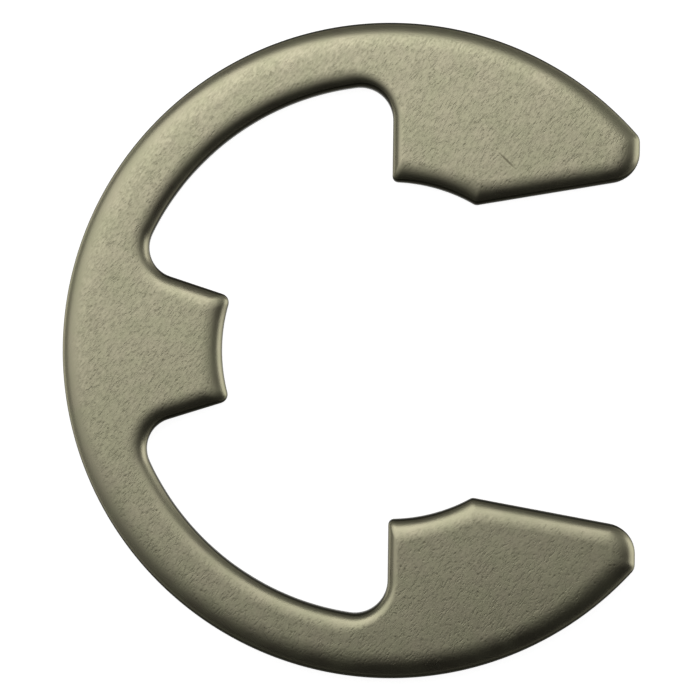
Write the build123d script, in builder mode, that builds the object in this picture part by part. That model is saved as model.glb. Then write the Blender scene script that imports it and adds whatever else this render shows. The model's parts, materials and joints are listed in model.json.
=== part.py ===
"""An E-shaped retaining ring for a grooved shaft: one flat blank stamped from spring steel strip.

It lies on its burr face on z = 0. The origin is on the axis of the shaft it grips, +Z runs through its
thickness to the rolled face, and its mouth opens towards +X. All sizes are in millimetres and degrees.
"""

import os
from math import cos, radians, sin, sqrt

from build123d import *

# the strip and the open ring
thickness = 1.5
outer_radius = 14.5
ring_width = 2.76

# the three places that grip the groove of the shaft
grip_radius = 7.46
mouth_width = 12.95
lug_tip_width = 4.6

# how the mouth widens outwards, and the lug widens into the ring
lead_in_angle = 10.0
lug_flank_angle = 17.8

# the blunt end of each prong, on the mouth's side and on the outer side
nose_width = 1.79
nose_mouth_radius = 1.35
nose_outer_radius = 0.55

# the other corners and the hollows between the prongs and the lug
lip_radius = 0.3
prong_tip_radius = 0.27
lug_tip_radius = 0.4
prong_root_radius = 1.45
lug_root_radius = 1.35

# the rounding that the die leaves on the upper edges, and the broken edge underneath
outer_roll_width = 1.25
inner_roll_width = 0.92
roll_depth = 0.45
corner_softening = 0.2
burr_break = 0.1

# the most that a large and a small corner take of the wall between them, and both rolls of the ring
large_corner_share = 0.76
small_corner_share = 0.6
roll_share = 0.9
roll_bands = 3


def leaving(start, direction, radius):
    """The point where a line leaves a circle about the shaft axis."""
    along = start.dot(direction)
    return start + direction * (sqrt(along**2 - start.dot(start) + radius**2) - along)


def arc_about_axis(start, end):
    """An arc about the shaft axis between two points that lie equally far from it."""
    return ThreePointArc(start, (start + end).normalized() * start.length, end)


def outline(part_of_roll):
    """The ring's outline where this part of the roll's width has been taken off every edge."""
    room = min(1, roll_share * ring_width / (outer_roll_width + inner_roll_width))
    outer_cut = outer_roll_width * room * part_of_roll
    inner_cut = inner_roll_width * room * part_of_roll
    softening = corner_softening * part_of_roll
    back = outer_radius - outer_cut
    hollow = outer_radius - ring_width + inner_cut
    grip = grip_radius + inner_cut

    # the mouth's edge runs from the lip to the nose, whose front stands square to the mouth
    lead_in = Vector(cos(radians(lead_in_angle)), sin(radians(lead_in_angle)))
    wall_lip = Vector(sqrt(grip_radius**2 - (mouth_width / 2) ** 2), mouth_width / 2)
    front = leaving(wall_lip + Vector(0, nose_width), lead_in, outer_radius).X - outer_cut
    mouth_edge = wall_lip + Vector(-lead_in.Y, lead_in.X) * inner_cut
    lip = leaving(mouth_edge, lead_in, grip)
    nose_mouth = mouth_edge + lead_in * ((front - mouth_edge.X) / lead_in.X)
    nose_outer = Vector(front, sqrt(back**2 - front**2))

    # the prong's back edge lies on the line across the shaft's centre
    prong_tip = Vector(inner_cut, sqrt(grip**2 - inner_cut**2))
    prong_root = Vector(inner_cut, sqrt(hollow**2 - inner_cut**2))

    flank = Vector(-cos(radians(lug_flank_angle)), sin(radians(lug_flank_angle)))
    wall_tip = Vector(-sqrt(grip_radius**2 - (lug_tip_width / 2) ** 2), lug_tip_width / 2)
    lug_edge = wall_tip - Vector(flank.Y, -flank.X) * inner_cut
    lug_tip = leaving(lug_edge, flank, grip)
    lug_root = leaving(lug_edge, flank, hollow)

    nose_wall = (nose_outer - nose_mouth).length
    prong_wall = (prong_root - prong_tip).length
    lug_wall = (lug_root - lug_tip).length
    corners = [
        (nose_outer, min(nose_outer_radius, small_corner_share * nose_wall)),
        (nose_mouth, min(nose_mouth_radius - inner_cut, large_corner_share * nose_wall)),
        (lip, lip_radius + softening),
        (prong_tip, prong_tip_radius + softening),
        (prong_root, min(prong_root_radius + inner_cut, large_corner_share * prong_wall)),
        (lug_root, min(lug_root_radius + inner_cut, large_corner_share * lug_wall)),
        (lug_tip, lug_tip_radius + softening),
    ]
    with BuildSketch() as shape:
        with BuildLine():
            arc_about_axis(Vector(-back, 0), nose_outer)
            Line(nose_outer, nose_mouth)
            Line(nose_mouth, lip)
            arc_about_axis(lip, prong_tip)
            Line(prong_tip, prong_root)
            arc_about_axis(prong_root, lug_root)
            Line(lug_root, lug_tip)
            arc_about_axis(lug_tip, Vector(-grip, 0))
            mirror(about=Plane.XZ)
        make_face()
        for corner, radius in corners:
            both_sides = (corner, Vector(corner.X, -corner.Y))
            fillet([shape.vertices().sort_by_distance(point)[0] for point in both_sides], radius)
    return shape.sketch


with BuildPart() as e_clip:
    # the straight wall, down to the broken edge of the burr face
    with BuildSketch():
        add(outline(0))
    extrude(amount=thickness - roll_depth)
    chamfer(e_clip.faces().sort_by(Axis.Z)[0].edges(), burr_break)

    # the rolled edge is a quarter ellipse from the wall up to the flat of the upper face, built in
    # bands that each pass smoothly through their lower, middle and upper outline
    for band in range(roll_bands):
        for step in (0, 0.5, 1):
            turn = radians(90 * (band + step) / roll_bands)
            with BuildSketch(Plane.XY.offset(thickness - roll_depth * (1 - sin(turn)))):
                add(outline(1 - cos(turn)))
        loft()

e_clip.part.label = "e_clip"
os.makedirs("parts", exist_ok=True)
export_step(e_clip.part, "parts/e_clip.step")
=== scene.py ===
"""An e clip on a white table: an open ring of spring steel, seen from straight above in soft light."""
import json
from cmath import phase, rect
from math import cos, exp, pi, radians, sin, sqrt
import bpy
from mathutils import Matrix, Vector, noise


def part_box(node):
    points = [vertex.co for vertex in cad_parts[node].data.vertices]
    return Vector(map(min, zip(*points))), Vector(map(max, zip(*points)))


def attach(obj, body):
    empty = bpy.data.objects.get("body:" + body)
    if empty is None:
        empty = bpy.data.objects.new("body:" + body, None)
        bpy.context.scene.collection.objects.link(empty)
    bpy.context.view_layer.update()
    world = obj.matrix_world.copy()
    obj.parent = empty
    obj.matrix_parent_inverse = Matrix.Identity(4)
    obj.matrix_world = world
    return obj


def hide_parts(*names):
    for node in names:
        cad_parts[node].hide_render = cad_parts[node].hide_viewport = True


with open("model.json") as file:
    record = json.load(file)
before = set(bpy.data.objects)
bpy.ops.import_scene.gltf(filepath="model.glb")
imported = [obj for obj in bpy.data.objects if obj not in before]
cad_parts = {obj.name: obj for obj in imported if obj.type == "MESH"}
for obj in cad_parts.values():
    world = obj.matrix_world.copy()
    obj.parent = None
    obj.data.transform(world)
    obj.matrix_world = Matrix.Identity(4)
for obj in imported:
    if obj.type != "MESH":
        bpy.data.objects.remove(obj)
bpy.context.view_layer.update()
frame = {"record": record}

# ---- The clip -------------------------------------------------------------------------------------
# One blank, stamped from spring steel strip, hardened, and tumbled until its face is an even satin.
# The die rolls the upper edges over, shears a smooth band down the wall and breaks the rest of it away
# rough, and the tumbling takes the burr off underneath.
MM = 0.001
clip_low, clip_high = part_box("e_clip")
thickness = clip_high.z - clip_low.z
outer_radius = -clip_low.x
nose_front = clip_high.x
shaft_seat = next(mount for mount in frame["record"]["mounts"] if mount["name"] == "shaft_groove")
grip_radius = shaft_seat["dims"]["r_mm"] * MM
ring_width = 2.76 * MM
mouth_width = 12.95 * MM
lug_tip_width = 4.6 * MM

# the mouth's edge opens outwards from the lip, and the lug's flank opens towards the ring
lead_in_angle = 10
lug_flank_angle = 17.8
lead_in = rect(1, radians(lead_in_angle))
lug_flank = rect(1, radians(180 - lug_flank_angle))

# the sharp corners of the upper half, before they are rounded
lip_corner = complex(sqrt(grip_radius**2 - (mouth_width / 2)**2), mouth_width / 2)
prong_tip_corner = complex(0, grip_radius)
lug_tip_corner = complex(-sqrt(grip_radius**2 - (lug_tip_width / 2)**2), lug_tip_width / 2)

# the rounding of each corner of the wall, in the order in which the outline meets them
nose_outer_radius = 0.55 * MM
nose_mouth_radius = 1.35 * MM
lip_radius = 0.3 * MM
prong_tip_radius = 0.27 * MM
prong_root_radius = 1.45 * MM
lug_root_radius = 1.35 * MM
lug_tip_radius = 0.4 * MM

# how deep the die roll is, how wide on the outside, the inside, the shaft's side and the back of the
# prongs, how much rounding it takes off the small corners, and the share of its outer width by which
# it tightens the outer corner of the nose
roll_depth = 0.45 * MM
outer_roll_width = 1.25 * MM
inner_roll_width = 0.92 * MM
mouth_roll_width = 1.0 * MM
flank_roll_width = 0.47 * MM
corner_sharpening = 0.12 * MM
nose_tightening = 0.1

# at the sharp corners the die draws the roll further in: how far, and how widely
lip_draw = 0.27 * MM
lip_draw_reach = 1.0 * MM
prong_tip_draw = 0.3 * MM
prong_tip_draw_reach = 0.8 * MM
prong_tip_draw_way = rect(1, radians(70))
lug_tip_draw = 0.35 * MM
lug_tip_draw_reach = 1.4 * MM
drawn_corners = [
    (lip_corner, 1j, lip_draw, lip_draw_reach),
    (prong_tip_corner, prong_tip_draw_way, prong_tip_draw, prong_tip_draw_reach),
    (lug_tip_corner, -1, lug_tip_draw, lug_tip_draw_reach),
    (lug_tip_corner.conjugate(), -1, lug_tip_draw, lug_tip_draw_reach),
]


def leaving(start, direction, radius):
    """The point where a line leaves a circle about the shaft axis."""
    along = (start * direction.conjugate()).real
    return start + direction * (sqrt(along**2 - abs(start)**2 + radius**2) - along)


def onto(corner, radius):
    """Where the rounding about a corner's centre meets a circle about the shaft axis."""
    return corner / abs(corner) * radius


def clip_outline(outer_cut, inner_cut, mouth_cut, flank_cut, sharpening):
    """The stretches of the upper half of the outline, from the back round the prong to the lug.

    The cuts move the outer edges, the inner ones, those on the shaft's side and the back of the prong
    into the steel, and sharpening takes from the rounding of the small corners. Each stretch is its
    start, its end, and the centre of its arc or None for a line.
    """
    back = outer_radius - outer_cut
    front = nose_front - outer_cut
    hollow = outer_radius - ring_width + inner_cut
    grip = grip_radius + mouth_cut
    into_prong = lead_in * 1j
    into_lug = lug_flank * 1j
    mouth_edge = lip_corner + into_prong * mouth_cut
    lug_edge = lug_tip_corner + into_lug * inner_cut
    prong_edge = complex(flank_cut, 0)

    nose_outer_round = nose_outer_radius - outer_cut * nose_tightening
    nose_outer = leaving(complex(front - nose_outer_round, 0), 1j, back - nose_outer_round)
    nose_round = nose_mouth_radius - mouth_cut
    nose_start = mouth_edge + into_prong * nose_round
    nose_mouth = nose_start + lead_in * ((front - nose_round - nose_start.real) / lead_in.real)
    lip_round = lip_radius - sharpening
    lip = leaving(mouth_edge + into_prong * lip_round, lead_in, grip + lip_round)
    prong_tip_round = prong_tip_radius - sharpening
    prong_tip = leaving(prong_edge + prong_tip_round, 1j, grip + prong_tip_round)
    prong_root_round = prong_root_radius + inner_cut
    prong_root = leaving(prong_edge - prong_root_round, 1j, hollow - prong_root_round)
    lug_root_round = lug_root_radius + inner_cut
    lug_root = leaving(lug_edge - into_lug * lug_root_round, lug_flank, hollow - lug_root_round)
    lug_tip_round = lug_tip_radius - sharpening
    lug_tip = leaving(lug_edge + into_lug * lug_tip_round, lug_flank, grip + lug_tip_round)

    # where each stretch starts, and the centre that it turns about
    stops = [
        (complex(-back, 0), 0),
        (onto(nose_outer, back), nose_outer),
        (nose_outer + nose_outer_round, None),
        (nose_mouth + nose_round, nose_mouth),
        (nose_mouth - into_prong * nose_round, None),
        (lip - into_prong * lip_round, lip),
        (onto(lip, grip), 0),
        (onto(prong_tip, grip), prong_tip),
        (prong_tip - prong_tip_round, None),
        (prong_root + prong_root_round, prong_root),
        (onto(prong_root, hollow), 0),
        (onto(lug_root, hollow), lug_root),
        (lug_root + into_lug * lug_root_round, None),
        (lug_tip - into_lug * lug_tip_round, lug_tip),
        (onto(lug_tip, grip), 0),
        (complex(-grip, 0), None),
    ]
    return [(start, end, centre) for (start, centre), (end, _) in zip(stops, stops[1:])]


def stretch_length(start, end, centre):
    """The length of an arc, or of a line where there is no centre."""
    if centre is None:
        return abs(end - start)
    return abs(phase((end - centre) / (start - centre))) * abs(start - centre)


# every loop has as many points on a stretch as the wall's has, so that loops join point to point
point_spacing = 0.14 * MM
fewest_points = 10
point_counts = [
    max(fewest_points, round(stretch_length(*stretch) / point_spacing))
    for stretch in clip_outline(0, 0, 0, 0, 0)
]


def swept(start, end, centre, count):
    """Points on the arc from start to end, or on the line between them where there is no centre."""
    steps = [step / count for step in range(count)]
    if centre is None:
        return [start + (end - start) * step for step in steps]
    turn = phase((end - centre) / (start - centre))
    return [centre + (start - centre) * rect(1, turn * step) for step in steps]


def clip_loop(*cuts, drawn=0.0):
    """The whole outline as one closed loop of points: the upper half, and the same points mirrored.

    The cuts are those of clip_outline, and drawn is the share of the draw at the sharp corners.
    """
    stretches = clip_outline(*cuts)
    half = [p for stretch, count in zip(stretches, point_counts) for p in swept(*stretch, count)]
    half.append(stretches[-1][1])
    for i, p in enumerate(half):
        for corner, way, draw, reach in drawn_corners:
            half[i] += way * draw * drawn * exp(-(abs(p - corner) / reach)**2)
    return half + [p.conjugate() for p in half[-2:0:-1]]


def even_loop(cut):
    """The wall's outline moved into the steel by one cut all round."""
    return clip_loop(cut, cut, cut, cut, 0)


# below the roll the wall is sheared smooth, and below a ragged line it has broken back a little
sheared_depth = 0.55 * MM
break_out = 0.03 * MM
ragged_share = 0.8
break_out_height = 0.05 * MM
tumbled_radius = 0.09 * MM
wall_height = thickness - roll_depth
sheared_from = wall_height - sheared_depth

# the rows of the edge from the underside up, each a loop with its height and its share of the waviness
tumbled_rows = 3
roll_rows = 24
broken_wall_waviness = 0.4
rows = []
for step in range(tumbled_rows + 1):
    turn = step / tumbled_rows * pi / 2
    cut = break_out + tumbled_radius * (1 - sin(turn))
    rows.append((even_loop(cut), tumbled_radius * (1 - cos(turn)), 0.0))
rows.append((even_loop(break_out), (tumbled_radius + sheared_from) / 2, broken_wall_waviness))
rows.append((even_loop(break_out * ragged_share), sheared_from - break_out_height, 1.0))
rows.append((even_loop(0), sheared_from, 1.0))
rows.append((even_loop(0), wall_height - sheared_depth / 2, 0.0))
full_roll = (outer_roll_width, inner_roll_width, mouth_roll_width, flank_roll_width, corner_sharpening)
for step in range(roll_rows + 1):
    turn = step / roll_rows * pi / 2
    rolled = 1 - cos(turn)
    loop = clip_loop(*(cut * rolled for cut in full_roll), drawn=rolled)
    rows.append((loop, thickness - roll_depth * (1 - sin(turn)), 0.0))

# the line along which the wall broke away wanders up and down
break_waviness = 0.09 * MM
wave_length = 1.1 * MM
clip_points = []
for loop, height, waviness in rows:
    for p in loop:
        wave = noise.noise(Vector((p.real, p.imag, 0)) / wave_length) * break_waviness * waviness
        clip_points.append((p.real, p.imag, clip_low.z + height + wave))
loop_size = len(rows[0][0])
clip_faces = [list(range(loop_size))]
for row in range(len(rows) - 1):
    below = row * loop_size
    above = below + loop_size
    for i in range(loop_size):
        j = (i + 1) % loop_size
        clip_faces.append([above + i, above + j, below + j, below + i])
clip_faces.append([(len(rows) - 1) * loop_size + i for i in reversed(range(loop_size))])
clip_mesh = bpy.data.meshes.new("retaining_ring")
clip_mesh.from_pydata(clip_points, [], clip_faces)
clip_mesh.validate()
clip_mesh.shade_smooth()
clip = bpy.data.objects.new("retaining_ring", clip_mesh)
bpy.context.scene.collection.objects.link(clip)


def add_node(tree, kind, inputs, **settings):
    """Adds a node to a tree. Each input is a plain value or the output of another node."""
    node = tree.nodes.new(kind)
    for name, value in settings.items():
        setattr(node, name, value)
    for name, value in inputs.items():
        if isinstance(value, bpy.types.NodeSocket):
            tree.links.new(value, node.inputs[name])
        else:
            node.inputs[name].default_value = value
    return node


def worked_out(tree, operation, *values):
    """The result of one operation on plain values or the outputs of other nodes."""
    return add_node(tree, "ShaderNodeMath", dict(enumerate(values)), operation=operation).outputs[0]


def ranged(tree, value, start, end, first=0.0, last=1.0, **settings):
    """Goes from first to last while the value goes from start to end."""
    inputs = {"Value": value, "From Min": start, "From Max": end, "To Min": first, "To Max": last}
    return add_node(tree, "ShaderNodeMapRange", inputs, **settings).outputs[0]


def grained(tree, place, size, detail, roughness):
    """A random value that changes softly over this size."""
    inputs = {"Vector": place, "Scale": 1 / size, "Detail": detail, "Roughness": roughness}
    return add_node(tree, "ShaderNodeTexNoise", inputs).outputs[0]


# a grained value lies mostly between the low and the high one, and hardly ever past the other two
grain_lowest = 0.3
grain_low = 0.35
grain_high = 0.65
grain_highest = 0.7


def mixed(tree, share, first, second):
    """The first colour where the share is 0, and the second where it is 1."""
    return add_node(tree, "ShaderNodeMix", {0: share, 6: first, 7: second}, data_type="RGBA").outputs[2]


def shaded(tree, colour, level):
    """A colour made lighter or darker by this level."""
    return add_node(tree, "ShaderNodeVectorMath", {0: colour, "Scale": level}, operation="SCALE").outputs[0]


steel = bpy.data.materials.new("tumbled_spring_steel")
steel.use_nodes = True
tree = steel.node_tree
steel_shader = tree.nodes["Principled BSDF"]
steel_place = tree.nodes.new("ShaderNodeTexCoord")
spot = steel_place.outputs["Object"]
normal = steel_place.outputs["Normal"]
facing = add_node(tree, "ShaderNodeSeparateXYZ", {0: normal})
# 0 on the upright wall, and 1 on the flat of the face
levelness = worked_out(tree, "ABSOLUTE", facing.outputs["Z"])

# The shine goes down from the satin of the face to the dull wall as the edge turns over, and the face's
# colour gives way to the edge's. Edges that face along the clip keep more of the face than those that face
# across it, and of these the ones that face the front are the darkest: painted shade on those rims.
wall_shine = 0.75
face_shine = 0.92
across_rim_painted_shade_weights = (0.78, 0, 1)
front_rim_painted_shade = 0.075
kept = add_node(tree, "ShaderNodeVectorMath", {0: normal, 1: across_rim_painted_shade_weights}, operation="MULTIPLY")
shine = add_node(tree, "ShaderNodeVectorMath", {0: kept.outputs[0]}, operation="LENGTH").outputs["Value"]
edge_shine_and_painted_shade = worked_out(tree, "MULTIPLY_ADD", facing.outputs["Y"], front_rim_painted_shade, shine)
on_face = ranged(tree, edge_shine_and_painted_shade, wall_shine, face_shine)
spot_height = add_node(tree, "ShaderNodeSeparateXYZ", {0: spot}).outputs["Z"]
on_shear = ranged(tree, spot_height, sheared_from - break_out_height, sheared_from + break_out_height)

# The strip's rolling grain shows as short slanting strokes that are deeper in patches, and tumbling
# leaves a few small pits and a fine grain. All of them fade out where the edge begins to roll. A
# stroke's size is its length, width and height.
level_where_marks_end = 0.955
level_of_full_marks = 0.995
flatness = ranged(tree, levelness, level_where_marks_end, level_of_full_marks)
stroke_slant = radians(54)
stroke_size = (0.22 * MM, 0.086 * MM, 0.2 * MM)
stroke_place = add_node(
    tree,
    "ShaderNodeMapping",
    {"Vector": spot, "Rotation": (0, 0, stroke_slant), "Scale": stroke_size},
    vector_type="TEXTURE",
)
strokes = grained(tree, stroke_place.outputs[0], 1.0, detail=3.0, roughness=0.6)
patch_size = 0.7 * MM
shallow_stroke = 0.5
deep_stroke = 1.1
patches = grained(tree, spot, patch_size, detail=1.0, roughness=0.5)
stroke_depth = ranged(tree, patches, grain_low, grain_high, shallow_stroke, deep_stroke)
stroke_rim = 0.5
stroke_bottom = 0.76
stroke_marks = ranged(tree, strokes, stroke_rim, stroke_bottom, 0.0, stroke_depth)

pit_spacing = 0.2 * MM
pit_rim = 0.4
pit_bottom = 0.05
pit_depth = 0.6
share_without_pit = 0.8
pits = add_node(tree, "ShaderNodeTexVoronoi", {"Vector": spot, "Scale": 1 / pit_spacing}, feature="F1")
pit_bowls = ranged(tree, pits.outputs["Distance"], pit_rim, pit_bottom, 0.0, pit_depth)
pit_lot = add_node(tree, "ShaderNodeSeparateColor", {0: pits.outputs["Color"]}).outputs[0]
pit_kept = worked_out(tree, "GREATER_THAN", pit_lot, share_without_pit)
pit_marks = worked_out(tree, "MULTIPLY", pit_bowls, pit_kept)

grain_size = 0.13 * MM
grain_depth = 0.45
fine_grain = grained(tree, spot, grain_size, detail=1.0, roughness=0.5)
grain_marks = worked_out(tree, "MULTIPLY", fine_grain, grain_depth)

# one long scratch across the upper prong, given by its middle, its slant and half its length and width
scratch_middle = (5.05 * MM, 8.42 * MM, thickness)
scratch_slant = radians(-44)
scratch_half = (0.62 * MM, 0.06 * MM, 1.0 * MM)
scratch_core = 0.4
scratch_place = add_node(
    tree,
    "ShaderNodeMapping",
    {"Vector": spot, "Location": scratch_middle, "Rotation": (0, 0, scratch_slant), "Scale": scratch_half},
    vector_type="TEXTURE",
)
scratch_reach = add_node(
    tree, "ShaderNodeVectorMath", {0: scratch_place.outputs[0]}, operation="LENGTH"
).outputs["Value"]
scratch_mark = ranged(tree, scratch_reach, 1.0, scratch_core)

mark_depth = 0.0062 * MM
marks = worked_out(tree, "ADD", stroke_marks, pit_marks)
marks = worked_out(tree, "ADD", marks, grain_marks)
marks = worked_out(tree, "ADD", marks, scratch_mark)
relief = add_node(
    tree,
    "ShaderNodeBump",
    {"Height": marks, "Strength": flatness, "Distance": mark_depth},
    invert=True,
)

# The colour of the face drifts in soft patches between warmer and greener, and darkens in the marks.
# The broken wall is dull and the sheared one dark, and both are kept darker as painted shade on the rims,
# darkest where they lean over to the roll.
warm_satin = (0.428, 0.4, 0.279, 1)
green_satin = (0.413, 0.4, 0.268, 1)
mark_brown = (0.22, 0.205, 0.135, 1)
broken_grey_and_painted_shade = (0.13, 0.12, 0.095, 1)
sheared_brown_and_painted_shade = (0.058, 0.055, 0.036, 1)
drift_size = 1.1 * MM
stroke_lightest_with_painted_highlight = 1.21
stroke_darkest_with_painted_shade = 0.79
level_of_wall = 0.1
level_of_roll = 0.35
roll_painted_shade = 0.4
drift = grained(tree, spot, drift_size, detail=3.0, roughness=0.5)
satin = mixed(tree, ranged(tree, drift, grain_low, grain_high), warm_satin, green_satin)
# the strokes' colour is their own grain tone with painted shade in their grooves and painted highlight
# between them
stroke_tone_and_relief_shade = ranged(tree, strokes, grain_lowest, grain_highest, stroke_lightest_with_painted_highlight, stroke_darkest_with_painted_shade)
stroked_with_relief_shade = shaded(tree, satin, stroke_tone_and_relief_shade)
# the colour darkens in the pits and in the scratch, most at their middles
darkened_in_marks = mixed(tree, worked_out(tree, "MAXIMUM", pit_marks, scratch_mark), stroked_with_relief_shade, mark_brown)
face_colour = mixed(tree, flatness, satin, darkened_in_marks)
# the wall colours are partly the walls' own duller finish and partly painted shade that keeps the rims
# dark; they darken further towards the roll
wall_colour_with_painted_shade = mixed(tree, on_shear, broken_grey_and_painted_shade, sheared_brown_and_painted_shade)
edge_painted_shade = ranged(tree, levelness, level_of_wall, level_of_roll, 1.0, roll_painted_shade)
edge_colour_with_painted_shade = shaded(tree, wall_colour_with_painted_shade, edge_painted_shade)
steel_colour = mixed(tree, on_face, edge_colour_with_painted_shade, face_colour)
tree.links.new(steel_colour, steel_shader.inputs["Base Color"])

smoothest_face = 0.27
roughest_face = 0.33
broken_roughness = 0.55
sheared_roughness = 0.36
face_roughness = ranged(tree, drift, grain_lowest, grain_highest, smoothest_face, roughest_face)
wall_roughness = ranged(tree, on_shear, 0.0, 1.0, broken_roughness, sheared_roughness)
roughness = add_node(tree, "ShaderNodeMix", {0: on_face, 2: wall_roughness, 3: face_roughness})
tree.links.new(roughness.outputs[0], steel_shader.inputs["Roughness"])
tree.links.new(relief.outputs[0], steel_shader.inputs["Normal"])
steel_shader.inputs["Metallic"].default_value = 1.0
steel_shader.inputs["Specular Tint"].default_value = (0.65, 0.65, 0.65, 1)
clip_mesh.materials.append(steel)
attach(clip, "root")
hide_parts("e_clip")

# ---- The table ------------------------------------------------------------------------------------
# A sheet of white acrylic that the clip lies on. It glows evenly from below, so that it looks plain
# white both straight on and in the steel.
table_reach = 3.0
table_glow = 0.9
table_white = (0.5, 0.5, 0.5, 1)
bpy.ops.mesh.primitive_plane_add(size=2 * table_reach, location=(0, 0, clip_low.z))
table = bpy.context.object
table.name = "white_table"
acrylic = bpy.data.materials.new("white_acrylic")
acrylic.use_nodes = True
tree = acrylic.node_tree
acrylic_shader = tree.nodes["Principled BSDF"]
acrylic_shader.inputs["Base Color"].default_value = table_white
acrylic_shader.inputs["Roughness"].default_value = 0.6
path = tree.nodes.new("ShaderNodeLightPath")
seen = worked_out(tree, "MAXIMUM", path.outputs["Is Camera Ray"], path.outputs["Is Glossy Ray"])
shining = worked_out(tree, "MAXIMUM", seen, path.outputs["Is Transmission Ray"])
glow = worked_out(tree, "MULTIPLY", shining, table_glow)
acrylic_shader.inputs["Emission Color"].default_value = (1, 1, 1, 1)
tree.links.new(glow, acrylic_shader.inputs["Emission Strength"])
table.data.materials.append(acrylic)

# ---- The light ------------------------------------------------------------------------------------
# A cloth diffuser is stretched close above the clip, with a back edge that slants. It glows most along
# its back, fades out towards the front, and is weaker over the lug's side. A soft box stands low on the
# mouth's side, in a dim room that is darkest in front and has a pale band low on its walls.
diffuser_height = 0.095
diffuser_left = -0.14
diffuser_right = 0.042
diffuser_front = -0.077
diffuser_left_back = 0.1
diffuser_right_back = 0.07
diffuser_mesh = bpy.data.meshes.new("diffuser")
diffuser_mesh.from_pydata(
    [
        (diffuser_left, diffuser_front, diffuser_height),
        (diffuser_left, diffuser_left_back, diffuser_height),
        (diffuser_right, diffuser_right_back, diffuser_height),
        (diffuser_right, diffuser_front, diffuser_height),
    ],
    [],
    [(0, 1, 2, 3)],
)
diffuser = bpy.data.objects.new("diffuser", diffuser_mesh)
diffuser.visible_camera = False
bpy.context.scene.collection.objects.link(diffuser)


def reach_along(tree, place, axis):
    """How far a place or a direction reaches along an axis."""
    product = add_node(tree, "ShaderNodeVectorMath", {0: place, 1: axis}, operation="DOT_PRODUCT")
    return product.outputs["Value"]


diffuser_level = 1.57
left_share = 0.55
left_from = -0.03
left_to = -0.1
back_gain = 1.3
gain_from = 0.04
gain_to = 0.075
fade_axis = Vector((-0.39, 0.921, 0))
fade_from = -0.056
fade_to = 0.0635
diffuser_glow = bpy.data.materials.new("diffuser_glow")
diffuser_glow.use_nodes = True
tree = diffuser_glow.node_tree
tree.nodes.remove(tree.nodes["Principled BSDF"])
cloth_spot = tree.nodes.new("ShaderNodeTexCoord").outputs["Object"]
cloth_sides = add_node(tree, "ShaderNodeSeparateXYZ", {0: cloth_spot})
left_level = ranged(
    tree, cloth_sides.outputs["X"], left_from, left_to, diffuser_level, diffuser_level * left_share
)
back_level = ranged(tree, cloth_sides.outputs["Y"], gain_from, gain_to, 1.0, back_gain)
full_level = worked_out(tree, "MULTIPLY", left_level, back_level)
cloth_level = ranged(
    tree,
    reach_along(tree, cloth_spot, fade_axis),
    fade_from,
    fade_to,
    0.0,
    full_level,
    interpolation_type="SMOOTHSTEP",
)
glowing = add_node(tree, "ShaderNodeEmission", {"Strength": cloth_level})
tree.links.new(glowing.outputs[0], tree.nodes["Material Output"].inputs["Surface"])
diffuser_mesh.materials.append(diffuser_glow)

side_place = Vector((0.15, 0.022, 0.052))
side_width = 0.115
side_height = 0.104
side_level = 1.1
side_lamp = bpy.data.lights.new("side_box", "AREA")
side_lamp.shape = "RECTANGLE"
side_lamp.size = side_width
side_lamp.size_y = side_height
side_lamp.energy = side_level * pi * side_width * side_height
side_box = bpy.data.objects.new("side_box", side_lamp)
side_box.location = side_place
side_box.rotation_euler = Vector((1, 0, 0)).to_track_quat("Z", "Y").to_euler()
side_box.visible_camera = False
bpy.context.scene.collection.objects.link(side_box)

room_axis = Vector((-0.45, 0.89, 0))
room_dark_to = -0.5
room_pale_from = 0.1
front_level = 0.02
lug_side_to = 0.4
lug_side_level = 0.28
straight_behind_level = 0.1
low_band_level = 0.3
low_band_to = 0.18
low_band_ends = 0.38
room = bpy.data.worlds.new("studio_room")
bpy.context.scene.world = room
room.use_nodes = True
tree = room.node_tree
room_way = tree.nodes.new("ShaderNodeTexCoord").outputs["Generated"]
room_sides = add_node(tree, "ShaderNodeSeparateXYZ", {0: room_way})
back_wall_level = ranged(
    tree, room_sides.outputs["Y"], lug_side_to, 1.0, lug_side_level, straight_behind_level
)
upper_level = ranged(
    tree,
    reach_along(tree, room_way, room_axis),
    room_dark_to,
    room_pale_from,
    front_level,
    back_wall_level,
    interpolation_type="SMOOTHSTEP",
)
lower_level = ranged(tree, room_sides.outputs["Z"], low_band_to, low_band_ends, low_band_level, 0.0)
room_level = worked_out(tree, "MAXIMUM", upper_level, lower_level)
# beyond the table the camera sees plain white
room_path = tree.nodes.new("ShaderNodeLightPath")
backdrop = worked_out(tree, "MAXIMUM", room_path.outputs["Is Camera Ray"], room_level)
room_light = tree.nodes["Background"]
room_light.inputs["Color"].default_value = (1, 1, 1, 1)
tree.links.new(backdrop, room_light.inputs["Strength"])

# ---- The camera -----------------------------------------------------------------------------------
# It hangs on a copy stand and looks straight down on the middle of the clip, turned a little on its
# axis. The width that it takes in is measured at the top of the wall, where the outline is widest.
view_width = 30.96 * MM
view_turn = radians(0.71)
stand_height = 0.18
wall_top = clip_high.z - roll_depth
camera_data = bpy.data.cameras.new("camera")
camera_data.sensor_width = 36
camera_data.lens = camera_data.sensor_width * stand_height / view_width
camera = bpy.data.objects.new("camera", camera_data)
camera.location = ((clip_low.x + clip_high.x) / 2, (clip_low.y + clip_high.y) / 2, wall_top + stand_height)
camera.rotation_euler = (0, 0, view_turn)
bpy.context.scene.collection.objects.link(camera)
bpy.context.scene.camera = camera
bpy.context.scene.view_settings.view_transform = "Standard"
